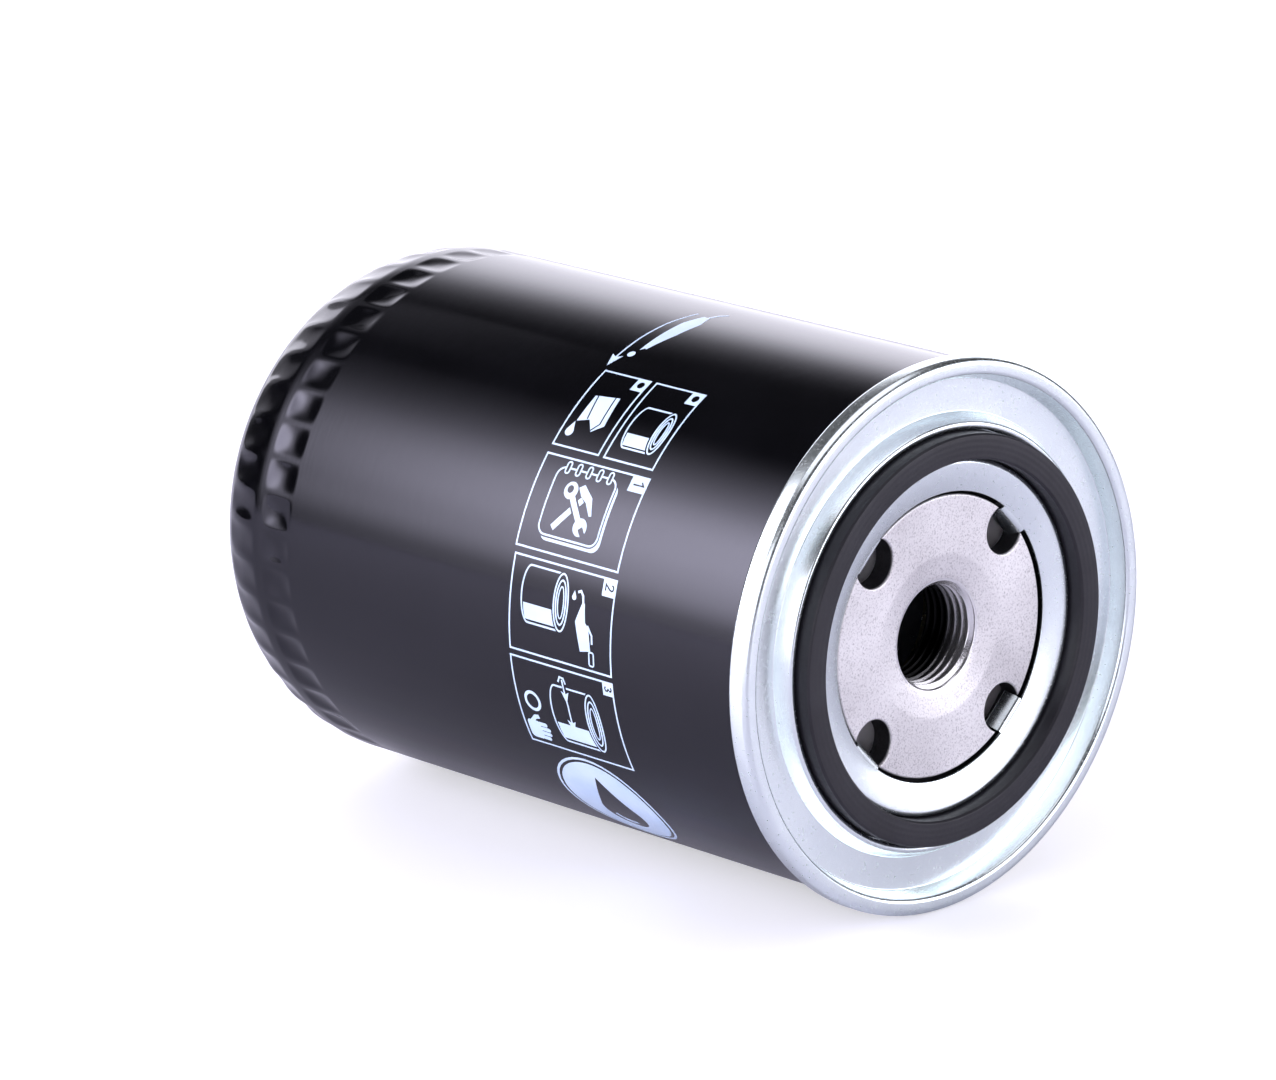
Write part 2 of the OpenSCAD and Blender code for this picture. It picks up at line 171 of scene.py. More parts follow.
# Where the plate's and the valve's looks change, in metres: squared radii, and places along the axis.
# Painted shade darkens the bore's depth, the walls below the plate's face outside the dish, and the valve's
# sleeve.
BORE_SQUARES = (0.0098 ** 2, 1.04 * 0.0098 ** 2)    # inside them is the bore's smooth metal
BORE_SHADE_DEPTHS = (-0.006, -0.0005)                     # the bore is dark below the first of them
DISH_SQUARES = (0.0145 ** 2, 0.0155 ** 2)           # the dished middle, lower than the rest of the face
WALL_SHADE_HEIGHTS = (0.0005, 0.0009)                     # outside the dish, what lies below them is dark
SLEEVE_SHADE_SQUARES = (0.0142 ** 2, 0.0155 ** 2)         # the valve's sleeve


def speckled_steel():
    """The base plate's bare steel, speckled with dark grains and smooth in the bore, with painted shade in
    the bore's depth and on the walls below its face.
    """
    material, shader, add, link = new_material("bare_steel")
    speck = grain(add, 3000, detail=4, rough=0.75)
    square, along = axis_square(add)
    tone = two_tone(add, grain(add, 45, detail=2), (0.68, 0.66, 0.66), (0.95, 0.93, 0.92), 0.3, 0.7)
    marks = two_tone(add, speck, (0.5, 0.49, 0.5), (1, 1, 1), 0.33, 0.5)
    speckled = mixed(add, 1.0, tone, marks, "MULTIPLY")
    # Painted shade: outside the dish, all that lies below the disc's face is near black: the inlet holes'
    # walls, the disc's edge and the plate's back.
    in_dish = span(add, square, 1, 0, DISH_SQUARES)
    at_face = span(add, along, 0, 1, WALL_SHADE_HEIGHTS)
    lit = add("ShaderNodeMath", {0: in_dish, 1: at_face}, operation="MAXIMUM").outputs[0]
    walls = two_tone(add, lit, (0.05, 0.05, 0.055), (1, 1, 1), 0.0, 1.0)
    shown = mixed(add, 1.0, speckled, walls, "MULTIPLY")
    # Painted shade: the bore fades to near black down its depth.
    depth = span(add, along, 0, 1, BORE_SHADE_DEPTHS)
    painted_bore_shade = two_tone(add, depth, (0.002, 0.002, 0.002), (0.8, 0.79, 0.79), 0.0, 1.0)
    outside = span(add, square, 0, 1, BORE_SQUARES)
    link(mixed(add, outside, painted_bore_shade, shown), shader.inputs["Base Color"])
    rough = add("ShaderNodeMix", {0: outside, 2: 0.1, 3: span(add, speck, 0.5, 0.34)})
    link(rough.outputs[0], shader.inputs["Roughness"])
    link(bump(add, speck, 1.0, 0.00003), shader.inputs["Normal"])
    shader.inputs["Metallic"].default_value = 0.85
    return material


def valve_rubber():
    """The drain valve's pale rubber, with painted shade on its sleeve round the bore, near black."""
    material, shader, add, link = new_material("valve_rubber")
    pale = two_tone(add, grain(add, 100), (0.86, 0.84, 0.85), (0.95, 0.93, 0.94))
    # Painted shade: the sleeve round the bore is near black.
    outside = span(add, axis_square(add)[0], 0, 1, SLEEVE_SHADE_SQUARES)
    link(mixed(add, outside, (0.004, 0.004, 0.004, 1), pale), shader.inputs["Base Color"])
    link(span(add, grain(add, 1200), 0.4, 0.55), shader.inputs["Roughness"])
    return material


MATERIALS = {
    "black_paint": black_paint(),
    "bare_steel": speckled_steel(),
    "zinc_plate": finish_surface("zinc_plate", (0.86, 0.93, 0.93), (0.9, 0.97, 0.96), 0.25, 1.0, 1600,
                                 depth=0.0000012, spread=0.03, ring=0.0006, ring_depth=0.000001),
    "gasket_rubber": finish_surface("gasket_rubber", (0.013, 0.012, 0.016), (0.019, 0.018, 0.023), 0.4, 0,
                                    1500, depth=0.000012, ring=0.0005, ring_depth=0.000014, ior=1.44),
    "sealing_compound": finish_surface("sealing_compound", (0.2, 0.09, 0.04), (0.28, 0.14, 0.06), 0.5),
    "weld_metal": finish_surface("weld_metal", (0.25, 0.23, 0.21), (0.42, 0.4, 0.38), 0.42, 1.0),
    "valve_rubber": valve_rubber(),
    "cap_steel": finish_surface("cap_steel", (0.55, 0.52, 0.38), (0.66, 0.63, 0.48), 0.3, 1.0, 700,
                                ring=0.0012),
    "filter_paper": finish_surface("filter_paper", (0.52, 0.36, 0.15), (0.66, 0.48, 0.23), 0.85, 0, 2200,
                                   (1, 2, 2), depth=0.00006, spread=0.05),
    "clip_steel": finish_surface("clip_steel", (0.5, 0.52, 0.55), (0.62, 0.64, 0.67), 0.3, 1.0, 900,
                                 (0.2, 2, 2)),
    "tube_steel": finish_surface("tube_steel", (0.42, 0.44, 0.47), (0.56, 0.58, 0.6), 0.33, 1.0, 800,
                                 (0.3, 1, 1)),
    "adhesive": finish_surface("adhesive", (0.06, 0.075, 0.065), (0.1, 0.12, 0.1), 0.3, 0, 500,
                               depth=0.00005),
    "valve_steel": finish_surface("valve_steel", (0.5, 0.5, 0.52), (0.62, 0.62, 0.64), 0.28, 1.0, 900,
                                  ring=0.001),
    "poppet_plastic": finish_surface("poppet_plastic", (0.58, 0.54, 0.4), (0.66, 0.62, 0.48), 0.4, 0, 1100),
    "spring_steel": finish_surface("spring_steel", (0.2, 0.21, 0.23), (0.34, 0.35, 0.37), 0.3, 1.0, 1400,
                                   depth=0.000008),
}
PRINT_INK = finish_surface("print_ink", (0.52, 0.66, 0.86), (0.6, 0.73, 0.92), 0.35, 0, 1500,
                           depth=0.000004, spread=0.05)


# ---------------------------------------------------------------- shapes

def round_about(radius, x, phi):
    """The row's point at a radius and x, in metres, phi radians up from the side that faces -Y."""
    return (x * MM, -radius * math.cos(phi) * MM, radius * math.sin(phi) * MM)


def bend(a, b, c, radius, step):
    """Points of an arc that rounds the corner b between a and c."""
    a, b, c = Vector(a), Vector(b), Vector(c)
    u, v = (a - b).normalized(), (c - b).normalized()
    half = u.angle(v) / 2
    centre = b + (u + v).normalized() * radius / math.sin(half)
    p = b + u * radius / math.tan(half) - centre
    q = b + v * radius / math.tan(half) - centre
    sweep = p.angle_signed(q)
    count = max(1, math.ceil(abs(sweep) / math.radians(step)))
    start = math.atan2(p.y, p.x)
    return [(centre.x + radius * math.cos(start - sweep * i / count),
             centre.y + radius * math.sin(start - sweep * i / count)) for i in range(count + 1)]


def bent_path(corners, step=9):
    """A path through corners (radius, x) or (radius, x, bend radius)."""
    path = []
    for i, corner in enumerate(corners):
        if len(corner) < 3 or i in (0, len(corners) - 1):
            path.append(corner[:2])
        else:
            path += bend(corners[i - 1][:2], corner[:2], corners[i + 1][:2], corner[2], step)
    return path


def sheet(path, thickness):
    """The closed outline of a sheet whose middle follows a path, with rounded edges."""
    points = [Vector(p) for p in path]
    last = len(points) - 1
    sides = []
    for i, p in enumerate(points):
        before = (p - points[i - 1]).normalized() if i else (points[1] - p).normalized()
        after = (points[i + 1] - p).normalized() if i < last else before
        left = Vector((-before.y, before.x))
        mitre = (left + Vector((-after.y, after.x))).normalized()
        sides.append(mitre * thickness / 2 / mitre.dot(left))
    near = [tuple(p + s) for p, s in zip(points, sides)]
    far = [tuple(p - s) for p, s in zip(points, sides)]
    return near + far[::-1]


SHARP = math.radians(40)           # an outline's corner that turns more than this is rounded


def eased(outline, radius, step=45):
    """An outline with every sharp corner slightly rounded, so that its edges catch the light."""
    out = []
    count = len(outline)
    for i, p in enumerate(outline):
        a, b, c = Vector(outline[i - 1]), Vector(p), Vector(outline[(i + 1) % count])
        if (b - a).angle(c - b) > SHARP and min((b - a).length, (c - b).length) > 2.5 * radius:
            out += bend(a, b, c, radius, step)
        else:
            out.append(tuple(p))
    return out


def turned(outline, columns):
    """Vertices and faces of a closed outline of (radius, x) points, turned about the thread's axis."""
    verts, faces, rows = [], [], len(outline)
    for j in range(columns):
        verts += [round_about(r, x, TURN * j / columns) for r, x in outline]
    for j in range(columns):
        here, there = j * rows, (j + 1) % columns * rows
        for i in range(rows):
            k = (i + 1) % rows
            faces.append((here + i, here + k, there + k, there + i))
    return verts, faces


def tube(points, radius, sides):
    """Vertices and faces of a round wire along points, closed at both ends. Sizes are in millimetres."""
    verts, faces = [], []
    for i, p in enumerate(points):
        ahead = (points[min(i + 1, len(points) - 1)] - points[max(i - 1, 0)]).normalized()
        out = Vector((0, p.y, p.z)).normalized()
        side = ahead.cross(out).normalized()
        for k in range(sides):
            a = TURN * k / sides
            verts.append((p + (out * math.cos(a) + side * math.sin(a)) * radius) * MM)
    for i in range(len(points) - 1):
        for k in range(sides):
            m = (k + 1) % sides
            faces.append((i * sides + k, i * sides + m, (i + 1) * sides + m, (i + 1) * sides + k))
    faces.append(tuple(range(sides)))
    faces.append(tuple(range((len(points) - 1) * sides, len(points) * sides)))
    return verts, faces


def make(name, shape, body, slot, material=None, stands_for=(), crease=35):
    """A finished piece: its mesh cleaned and shaded, its material, found by its slot's name unless one is
    given, and its body; the CAD parts it stands for are hidden.
    """
    mesh = bpy.data.meshes.new(name)
    verts, faces = shape
    mesh.from_pydata(verts, [], faces)
    bm = bmesh.new()
    bm.from_mesh(mesh)
    bmesh.ops.remove_doubles(bm, verts=bm.verts, dist=2e-7)
    bmesh.ops.dissolve_degenerate(bm, edges=bm.edges, dist=1e-7)
    bmesh.ops.recalc_face_normals(bm, faces=bm.faces)
    bm.to_mesh(mesh)
    bm.free()
    piece = bpy.data.objects.new(name, mesh)
    bpy.context.scene.collection.objects.link(piece)
    shade(mesh, crease)
    mesh.materials.append(material or MATERIALS[slot])
    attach(piece, body)
    if stands_for:
        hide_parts(*stands_for)
    return piece


def shade(mesh, crease):
    """Smooth faces with sharp edges above the crease angle, in degrees."""
    mesh.polygons.foreach_set("use_smooth", [True] * len(mesh.polygons))
    mesh.set_sharp_from_angle(angle=math.radians(crease))
    mesh.update()


# ---------------------------------------------------------------- the can

DIMPLES = 45
DIMPLE_PHASE = math.radians(1)
DIMPLE_DEPTH = 0.4
DIMPLE_HALF = 2.8                          # half of a dimple's width round the can
DIMPLE_ROWS = ((1.0, 8.3), (-10.8, -1.2))  # from the shoulder's start, along the can's outline
DIMPLE_BEND = 2.3                          # how round the bowl is: 2 is a plain arc
DIMPLE_EASE = 1.2                          # how soft its rim is: 1 is a crease
COLUMNS = 18 * DIMPLES
PLAIN_ROWS = [2.0, 0.0, -40.0, -80.0, -104.0, -111.0, -112.0]
FINE_FROM, FINE_TO = -112.4, 31            # fine rows: from this x to this many degrees round the shoulder
FLANGE = ((47.2, 2.0), (47.2, 1.4), (46.5, 1.4))
BEYOND = 99                                # a distance along the outline that no dimple reaches


def dimple(along, phi):
    """How deep the can is pressed in, at a distance along its outline from the shoulder's start."""
    step = TURN / DIMPLES
    across = ((phi - DIMPLE_PHASE + step / 2) % step - step / 2) * CAN_R
    for back, front in DIMPLE_ROWS:
        if back < along < front:
            length = abs(along - (back + front) / 2) / (front - back) * 2
            width = min(1, abs(across) / DIMPLE_HALF)
            bowl = (1 - length ** DIMPLE_BEND) * (1 - width ** DIMPLE_BEND)
            return DIMPLE_DEPTH * bowl ** DIMPLE_EASE
    return 0.0


def can_outline(inset, fine, coarse):
    """Points of the can's outline at an inset: radius, x, the outline's normal, and the distance along it."""
    side_rows = list(PLAIN_ROWS)
    x = FINE_FROM
    while x > SHOULDER_START:
        side_rows.append(x)
        x -= fine
    points = [(CAN_R - inset, x, (1, 0), x - SHOULDER_START) for x in side_rows]
    arc = SHOULDER_R - inset
    angle = 0.0
    while angle < 90:
        a = math.radians(angle)
        points.append((CAN_R - SHOULDER_R + arc * math.cos(a), SHOULDER_START - arc * math.sin(a),
                       (math.cos(a), -math.sin(a)), -a * SHOULDER_R))
        angle += math.degrees(fine / SHOULDER_R) if angle < FINE_TO else coarse
    for r in (CAN_R - SHOULDER_R, 18.0, 9.0):
        points.append((r, CAN_END + inset, (0, -1), -math.radians(90) * SHOULDER_R))
    return points


def can_shape():
    """The can's pressed sheet with both rows of grip dimples, and its flange inside the seam."""
    outer = can_outline(0, 0.36, 4)
    inner = can_outline(CAN_T, 1.6, 10)
    flange = [(r, x, (1, 0), BEYOND) for r, x in FLANGE]
    outline = inner[::-1] + flange + outer[2:]
    verts, faces, rows = [], [], len(outline)
    for j in range(COLUMNS):
        phi = TURN * j / COLUMNS
        for r, x, (nr, nx), along in outline:
            depth = dimple(along, phi)
            verts.append(round_about(r - nr * depth, x - nx * depth, phi))
    for j in range(COLUMNS):
        here, there = j * rows, (j + 1) % COLUMNS * rows
        faces += [(here + i, here + i + 1, there + i + 1, there + i) for i in range(rows - 1)]
    inside, outside = len(verts), len(verts) + 1
    verts += [((CAN_END + CAN_T) * MM, 0, 0), (CAN_END * MM, 0, 0)]
    for j in range(COLUMNS):
        here, there = j * rows, (j + 1) % COLUMNS * rows
        faces += [(inside, here, there), (outside, there + rows - 1, here + rows - 1)]
    return verts, faces


make("can_skin", can_shape(), "casing", "black_paint", stands_for=["can"], crease=50)


# ---------------------------------------------------------------- printed marks

# The print is drawn flat, in millimetres: u runs along the can, and v runs up round it.
# Later shapes cover earlier ones, with ink or with bare paint.
INK_BASE, INK_TOP = 46.506, 46.53
LINE = 0.34
CUT_SHIFT = 0.0137                 # keeps the cuts along the can off the drawing's own points
drawing = []


def up_round(degrees):
    """The v of an angle above the side that faces -Y."""
    return math.radians(degrees) * CAN_R


def draw(points, ink=True):
    """Adds a filled shape of ink, or of bare paint."""
    area = sum(a[0] * b[1] - b[0] * a[1] for a, b in zip(points, points[1:] + points[:1]))
    drawing.append((ink, points if area > 0 else points[::-1]))


def blank(points):
    """Adds a filled shape of bare paint."""
    draw(points, ink=False)


def box(u0, u1, v0, v1, inset=0.0):
    """A rectangle."""
    u0, u1, v0, v1 = u0 + inset, u1 - inset, v0 + inset, v1 - inset
    return [(u0, v0), (u1, v0), (u1, v1), (u0, v1)]


def oval(u, v, ru, rv, start=0, end=360, count=40):
    """Points of an ellipse, or of an arc of one."""
    steps = count if end - start >= 360 else count + 1
    return [(u + ru * math.cos(math.radians(start + (end - start) * i / count)),
             v + rv * math.sin(math.radians(start + (end - start) * i / count))) for i in range(steps)]


def rounded(u0, u1, v0, v1, r, inset=0.0):
    """A rectangle with round corners."""
    u0, u1, v0, v1, r = u0 + inset, u1 - inset, v0 + inset, v1 - inset, r - inset
    corners = ((u1 - r, v1 - r, 0), (u0 + r, v1 - r, 90), (u0 + r, v0 + r, 180), (u1 - r, v0 + r, 270))
    return [p for u, v, a in corners for p in oval(u, v, r, r, a, a + 90, 8)]


def stroke(path, width=LINE):
    """The outline of a line along an open path."""
    points = [Vector(p) for p in path]
    left, right = [], []
    for i, p in enumerate(points):
        before = (p - points[i - 1]).normalized() if i else (points[1] - p).normalized()
        after = (points[i + 1] - p).normalized() if i < len(points) - 1 else before
        side = Vector((-before.y, before.x))
        mitre = (side + Vector((-after.y, after.x))).normalized()
        offset = mitre * (width / 2 / mitre.dot(side))
        left.append(tuple(p + offset))
        right.append(tuple(p - offset))
    return left + right[::-1]


def frame_box(u0, u1, low, high):
    """A plain frame between two angles."""
    v0, v1 = up_round(low), up_round(high)
    draw(box(u0, u1, v0, v1))
    blank(box(u0, u1, v0, v1, LINE))


def ring_mark(u, v, ru, rv, width=LINE):
    """An ellipse drawn as a line."""
    draw(oval(u, v, ru, rv))
    blank(oval(u, v, ru - width, rv - width))


def canister(u0, u1, v0, v1, mouth=1.9):
    """A filter lying down: its outline, a shaded band below, and its open end on the right."""
    rv, mid = (v1 - v0) / 2, (v0 + v1) / 2
    for inset, ink in ((0, True), (LINE, False)):
        side = oval(u0 + mouth, mid, mouth - inset, rv - inset, 90, 270, 20)
        draw([(u1 - mouth, v1 - inset)] + side + [(u1 - mouth, v0 + inset)], ink)
    low, high = mid - rv * 0.86, mid - rv * 0.32
    left = [(u0 + mouth - (mouth - 2 * LINE) * math.sqrt(1 - ((v - mid) / rv) ** 2), v)
            for v in (high, (low + high) / 2, low)]
    draw([(u1 - mouth, high)] + left + [(u1 - mouth, low)])
    blank(oval(u1 - mouth, mid, mouth + LINE, rv + LINE))
    ring_mark(u1 - mouth, mid, mouth, rv)
    ring_mark(u1 - mouth, mid, mouth * 0.72, rv * 0.78)
    ring_mark(u1 - mouth, mid, mouth * 0.44, rv * 0.56, LINE * 0.8)


def drop(u, v, r, lean=90):
    """An oil drop with its point in the direction of lean."""
    a = math.radians(lean)
    tip = (u + 2.3 * r * math.cos(a), v + 2.3 * r * math.sin(a))
    return [tip] + oval(u, v, r, r, lean + 55, lean + 305, 20)


def arrow_head(u, v, size, lean):
    """A filled arrow head whose tip is at (u, v)."""
    a = math.radians(lean)
    along, side = Vector((math.cos(a), math.sin(a))), Vector((-math.sin(a), math.cos(a)))
    tip = Vector((u, v))
    draw([tuple(tip), tuple(tip - along * size + side * size * 0.42), tuple(tip - along * size * 0.8),
          tuple(tip - along * size - side * size * 0.42)])


NUMERALS = {
    1: [(0.08, 0.74), (0.36, 1.0), (0.36, 0.0)],
    2: [(0.04, 0.76), (0.12, 0.94), (0.3, 1.0), (0.48, 0.94), (0.55, 0.76), (0.46, 0.54), (0.04, 0.02),
        (0.6, 0.02)],
    3: [(0.06, 0.88), (0.26, 1.0), (0.48, 0.93), (0.53, 0.73), (0.3, 0.54), (0.55, 0.36), (0.55, 0.12),
        (0.3, 0.0), (0.04, 0.12)],
}


def numeral_tag(number, u0, u1, low, high):
    """A filled tag with a numeral in it, whose top faces the threaded end."""
    v0, v1 = up_round(low), up_round(high)
    draw(box(u0, u1, v0, v1))
    size = 0.6 * (u1 - u0)
    start_u, start_v = (u0 + u1) / 2 - size / 2, (v0 + v1) / 2 + 0.28 * size
    blank(stroke([(start_u + y * size, start_v - x * size) for x, y in NUMERALS[number]], 0.3))


def corner_tag(u1, high):
    """A filled corner tag with a round hole."""
    v1 = up_round(high)
    draw(box(u1 - 3.0, u1, v1 - 2.9, v1))
    blank(oval(u1 - 1.5, v1 - 1.45, 0.75, 0.75))


# Two small frames: a folded cloth beside a drop, and a filter.
frame_box(-55.6, -44.1, 39.1, 59.6)
corner_tag(-44.1, 59.6)
draw([(-52.9, 42.6), (-47.4, 43.2), (-46.6, 37.2), (-48.8, 35.6), (-50.6, 37.8), (-53.2, 37.0)])
blank(stroke([(-48.4, 43.4), (-47.8, 37.4), (-49.2, 35.6)], 0.3))
blank(stroke([(-52.3, 42.9), (-51.2, 37.8)], 0.3))
draw(drop(-53.4, 34.8, 0.9))
frame_box(-43.0, -30.9, 39.0, 59.6)
corner_tag(-30.9, 59.6)
canister(-41.6, -32.2, 34.2, 43.0, 1.6)

# Frame 1: a service book with a spanner across a hammer.
frame_box(-55.6, -30.4, 16.6, 37.3)
numeral_tag(1, -34.4, -30.4, 33.6, 37.3)
CARD = (-51.5, -36.9, 16.3, 28.6, 1.9)
draw(rounded(-50.7, -36.1, 15.5, 27.8, 1.9))
blank(rounded(*CARD, -0.28))
draw(rounded(*CARD))
blank(rounded(*CARD, LINE))
for i in range(5):
    u = -49.3 + 2.55 * i
    draw(rounded(u - 0.62, u + 0.62, 27.3, 29.7, 0.6))
    blank(rounded(u - 0.62, u + 0.62, 27.3, 29.7, 0.6, 0.3))
draw(stroke([(-48.2, 17.9), (-43.2, 23.7)], 1.15))
draw([(-45.0, 25.6), (-43.9, 26.3), (-41.2, 24.4), (-40.0, 21.4), (-40.6, 21.3), (-42.2, 23.3),
      (-43.9, 24.3)])
blank(stroke([(-46.2, 24.3), (-42.2, 19.6)], 1.9))
draw(stroke([(-46.4, 24.5), (-42.2, 19.6)], 1.15))
draw(oval(-46.6, 24.8, 1.55, 1.55))
blank(oval(-46.8, 25.0, 0.72, 0.72))
draw(oval(-41.8, 19.1, 1.6, 1.6))
blank(stroke([(-41.7, 19.0), (-40.0, 17.0)], 1.1))

# Frame 2: a filter and an oil can with a drop at its spout.
frame_box(-55.3, -30.1, -5.5, 15.2)
numeral_tag(2, -33.3, -30.1, 11.3, 15.2)
canister(-52.6, -40.9, 0.9, 11.1)
draw(drop(-39.7, 7.6, 0.5))
draw(stroke([(-38.9, 8.6), (-38.2, 8.9), (-37.6, 8.2), (-37.3, 6.6)], 0.45))
draw([(-37.6, 7.0), (-37.0, 7.0), (-36.6, 3.8), (-35.7, 2.9), (-35.2, -0.9), (-37.7, -1.4), (-39.0, 3.6)])
draw(stroke([(-36.0, 3.4), (-34.9, 1.9), (-34.8, 0.4)], 0.4))
draw(rounded(-35.7, -34.3, -3.6, -0.9, 0.5))
blank(rounded(-35.7, -34.3, -3.6, -0.9, 0.5, 0.3))

# Frame 3: a filter with a turning arrow, a gasket ring and a hand.
frame_box(-55.4, -30.1, -28.0, -6.7)
numeral_tag(3, -32.7, -30.1, -9.9, -6.7)
canister(-47.0, -34.6, -20.4, -8.9)
blank(stroke([(-42.7, -7.6), (-42.3, -13.0), (-42.5, -16.6)], 1.0))
draw(stroke([(-42.9, -7.6), (-42.4, -12.6), (-42.5, -16.6)], 0.34))
draw(stroke([(-43.9, -8.2), (-43.4, -7.2), (-42.5, -7.3), (-42.1, -8.3)], 0.34))
arrow_head(-42.5, -12.0, 2.2, -88)
arrow_head(-42.5, -17.8, 2.4, -90)
ring_mark(-51.5, -13.6, 2.0, 2.0, 0.6)
draw(rounded(-54.5, -51.4, -21.6, -17.8, 0.7))
for i, length in enumerate((1.6, 2.1, 2.2, 1.7)):
    v = -21.55 + 0.96 * i
    draw(rounded(-51.8, -51.3 + length, v, v + 0.8, 0.39))
draw(stroke([(-53.4, -18.2), (-52.0, -16.9), (-51.0, -16.7)], 0.8))

# The round badge below: a drop on a disc.
BADGE_U, BADGE_V = -42.8, -35.7
ring_mark(BADGE_U, BADGE_V, 12.0, 12.0, 0.5)
draw(oval(BADGE_U, BADGE_V, 10.9, 10.9, count=64))
blank([(BADGE_U + 1.3 * (p[1] - BADGE_V), BADGE_V + 1.3 * (p[0] - BADGE_U))
       for p in drop(BADGE_U - 2.4, BADGE_V, 3.6, 0)])
draw(stroke(oval(BADGE_U, BADGE_V - 3.1, 3.1, 3.1, 200, 290, 10), 0.7))

# Above: an oiling tool beside a long arrow.
draw(stroke([(-55.0, 71.0), (-55.9, 64.0), (-56.2, 58.0), (-56.2, 51.6)], 0.36))
arrow_head(-56.2, 49.4, 3.0, -90)
draw([(-53.3, 54.9), (-52.6, 55.6), (-52.2, 55.4), (-50.6, 61.0), (-50.0, 66.4), (-51.2, 69.9),
      (-52.8, 70.3), (-53.6, 66.0), (-53.4, 58.2)])
draw(stroke([(-51.6, 69.8), (-51.2, 72.0), (-50.2, 73.6)], 0.5))
draw(oval(-53.9, 53.4, 0.75, 0.75))


def printed_shape():
    """The print as thin slabs that follow the can."""
    points, faces, edges = [], [], []
    for _, shape in drawing:
        faces.append(list(range(len(points), len(points) + len(shape))))
        points += [Vector(p) for p in shape]
    low, high = min(p.y for p in points), max(p.y for p in points)
    ends = min(p.x for p in points) - 1, max(p.x for p in points) + 1
    for i in range(math.ceil(high - low) + 1):
        edges.append((len(points), len(points) + 1))
        points += [Vector((u, low + i - CUT_SHIFT)) for u in ends]
    flat, _, tris, _, _, sources = delaunay_2d_cdt(points, edges, faces, 1, 1e-5)
    inked = [t for t, found in zip(tris, sources) if found and drawing[max(found)][0]]
    used = sorted({i for t in inked for i in t})
    place = {old: new for new, old in enumerate(used)}
    inked = [tuple(place[i] for i in t) for t in inked]
    count = len(used)
    verts = [round_about(r, flat[i].x, flat[i].y / CAN_R) for r in (INK_TOP, INK_BASE) for i in used]
    sides = {(a, b) for t in inked for a, b in zip(t, t[1:] + t[:1])}
    walls = [(b, a, a + count, b + count) for a, b in sides if (b, a) not in sides]
    return verts, inked + [tuple(i + count for i in t[::-1]) for t in inked] + walls


make("printed_marks", printed_shape(), "casing", "black_paint", PRINT_INK, crease=30)


# ---------------------------------------------------------------- lid and gasket

LID_PATH = bent_path([
    (46.6, -0.65), (47.65, -0.65, 0.4), (47.65, 2.75, 1), (45.35, 2.75, 0.6), (44.25, -0.65, 0.6),
    (38.1, -0.65, 0.6), (36.7, 2.25, 0.37), (36.05, 2.25, 0.37), (36.05, -0.65, 0.4),
    (30.55, -0.65, 0.4), (30.55, 2.25, 0.6), (25.1, 1.25)])
EDGE = 0.12                        # how far the lid's cut edges are rounded
TAB_PATH = bent_path([(25.5, 1.323), (24.45, 1.131, 0.7), (23.2, -1.3)], 6)
TAB_T = 0.6
TAB_HALF = 3.5                     # half of a tab's width
TAB_COLUMNS = 24
LIP_R = 24.9                       # a tab follows the lip's round edge outside this radius


def lid_tab(phi):
    """A tab of the lip, bent down into an inlet hole. Its root follows the lip, and its bend is straight."""
    outline = eased(sheet(TAB_PATH, TAB_T), EDGE)
    verts, faces, rows = [], [], len(outline)
    for j in range(TAB_COLUMNS + 1):
        side = TAB_HALF * (2 * j / TAB_COLUMNS - 1)
        for r, x in outline:
            out = math.sqrt(r * r - side * side) if r > LIP_R else r
            verts.append(round_about(math.hypot(out, side), x, phi + math.atan2(side, out)))
    for j in range(TAB_COLUMNS):
        here, there = j * rows, (j + 1) * rows
        for i in range(rows):
            k = (i + 1) % rows
            faces.append((here + i, here + k, there + k, there + i))
    faces += [tuple(range(rows)), tuple(range(TAB_COLUMNS * rows, (TAB_COLUMNS + 1) * rows))]
    return verts, faces


def lid_shape():
    """The lid's ring and the four tabs that its lip bends down into the inlet holes."""
    verts, faces = turned(eased(sheet(LID_PATH, LID_T), EDGE), 360)
    for phi in INLET_ANGLES:
        tab_verts, tab_faces = lid_tab(phi)
        faces += [tuple(k + len(verts) for k in face) for face in tab_faces]
        verts += tab_verts
    return verts, faces


make("seamed_lid", lid_shape(), "casing", "zinc_plate", stands_for=["lid"], crease=60)

GASKET = bent_path([
    (31.0, 1.0), (31.0, -0.3, 0.2), (35.5, -0.3, 0.2), (35.5, 4.85, 0.15), (35.15, 5.2, 0.2),
    (31.35, 5.2, 0.2), (31.0, 4.85, 0.15), (31.0, 1.0)], 20)[:-1]
make("moulded_gasket", turned(GASKET, 300), "casing", "gasket_rubber", stands_for=["gasket"])

# ---------------------------------------------------------------- base plate

PLATE_COLUMNS = 180
BORE_MOUTH = (9.5, 0.35)
BORE_END = (9.366, -10.82)
# Where the rows of one thread turn lie, as shares of the pitch.
TURN_ROWS = (0, 0.03, 0.12, 0.215, 0.25, 0.285, 0.34, 0.41, 0.48, 0.535, 0.5625, 0.59, 0.66, 0.6875, 0.715,
             0.77, 0.84, 0.91, 0.965)
# Crest, flank, root and flank: the shares between which each lies, and how deep the groove is at both.
TURN_PARTS = ((0, 0.25, 0, 0), (0.25, 0.5625, 0, 1), (0.5625, 0.6875, 1, 1), (0.6875, 1, 1, 0))
CHAMFER_SLOPE = 0.9                # of the bore's mouth, in radius per length


def thread_radius(share):
    """The bore's radius at a share of a thread turn."""
    for start, end, a, b in TURN_PARTS:
        if share <= end:
            t = (share - start) / (end - start)
            return THREAD_MINOR + (THREAD_MAJOR - THREAD_MINOR) * (a + (b - a) * t)


